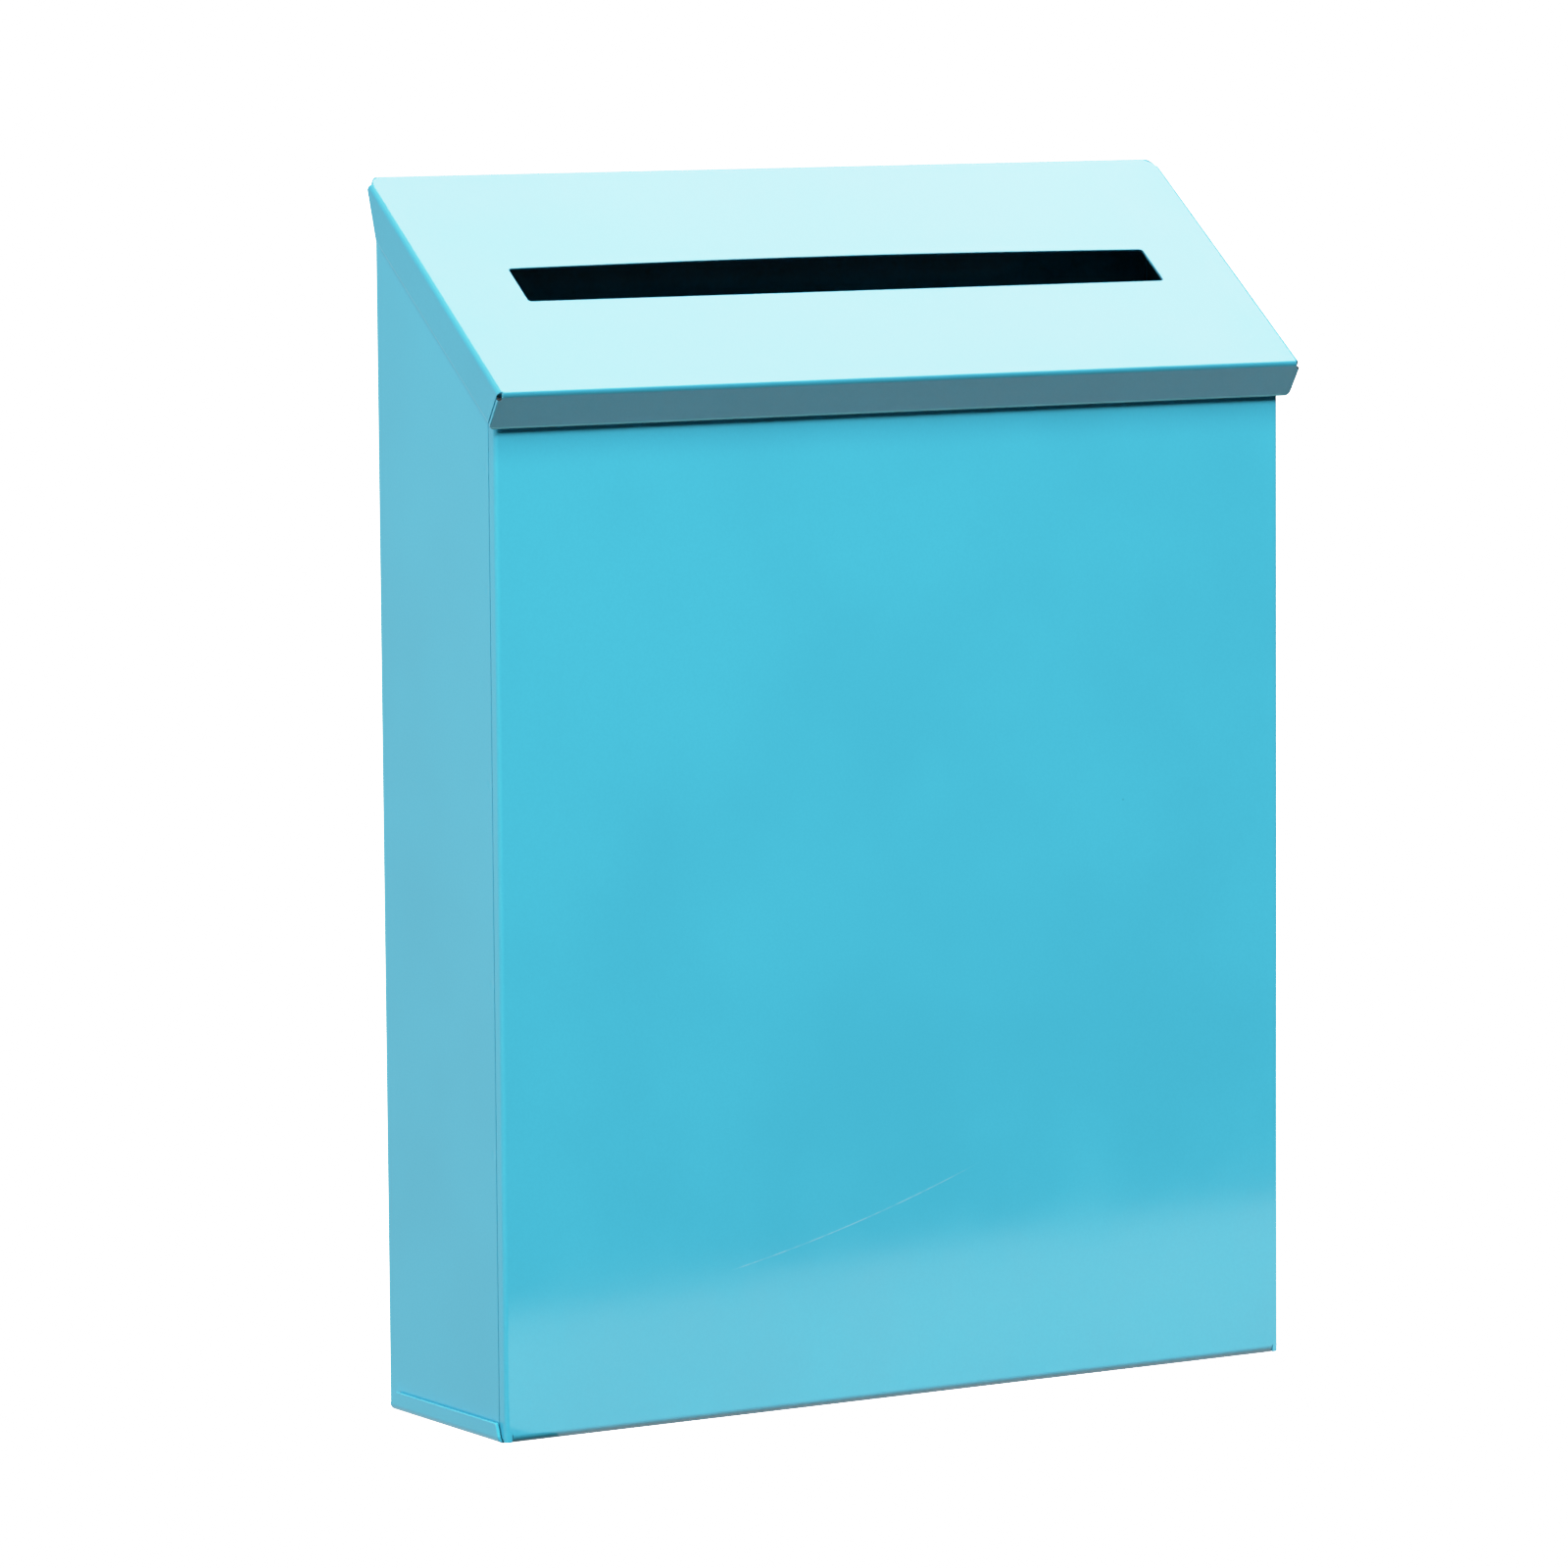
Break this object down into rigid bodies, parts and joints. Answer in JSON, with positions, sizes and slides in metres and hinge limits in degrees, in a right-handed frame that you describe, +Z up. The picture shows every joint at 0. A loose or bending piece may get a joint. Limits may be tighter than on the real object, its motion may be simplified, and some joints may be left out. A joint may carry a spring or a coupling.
{
  "type": "book drop box",
  "caption": "Flat wall-hung drop box of painted sheet steel with a sloping hinged lid and a long posting slot.",
  "frame": {"origin": "on the plane the floor stands on, under the middle of the whole box in width and depth", "axes": "+Z up, front face looks along -Y, wall bosses look along +Y, +X is to the right seen from the front"},
  "size_m": [0.2672, 0.081, 0.3501],
  "materials": {
    "body_paint": "semi-gloss powder coat",
    "lid_paint": "semi-gloss powder coat",
    "zinc_plated_steel": "zinc plated, satin",
    "rivet_aluminium": "satin"
  },
  "bodies": {
    "box": {"front_and_floor_panel": "body_paint", "left_side_panel": "body_paint", "right_side_panel": "body_paint", "back_panel": "body_paint", "left_hinge_body_leaf": "zinc_plated_steel", "left_hinge_pin": "zinc_plated_steel", "left_hinge_rivet_a": "rivet_aluminium", "left_hinge_rivet_b": "rivet_aluminium", "right_hinge_body_leaf": "zinc_plated_steel", "right_hinge_pin": "zinc_plated_steel", "right_hinge_rivet_a": "rivet_aluminium", "right_hinge_rivet_b": "rivet_aluminium"},
    "lid_assembly": {"lid": "lid_paint", "left_hinge_lid_leaf": "zinc_plated_steel", "left_lid_stud_a": "zinc_plated_steel", "left_lid_nut_a": "zinc_plated_steel", "left_lid_stud_b": "zinc_plated_steel", "left_lid_nut_b": "zinc_plated_steel", "right_hinge_lid_leaf": "zinc_plated_steel", "right_lid_stud_a": "zinc_plated_steel", "right_lid_nut_a": "zinc_plated_steel", "right_lid_stud_b": "zinc_plated_steel", "right_lid_nut_b": "zinc_plated_steel"}
  },
  "joints": [
    {"name": "lid_hinge", "type": "hinge", "parent": "box", "child": "lid_assembly", "pos_m": [0, 0.0364, 0.34716], "axis": [-1, 0, 0], "range_deg": [0, 125]}
  ]
}
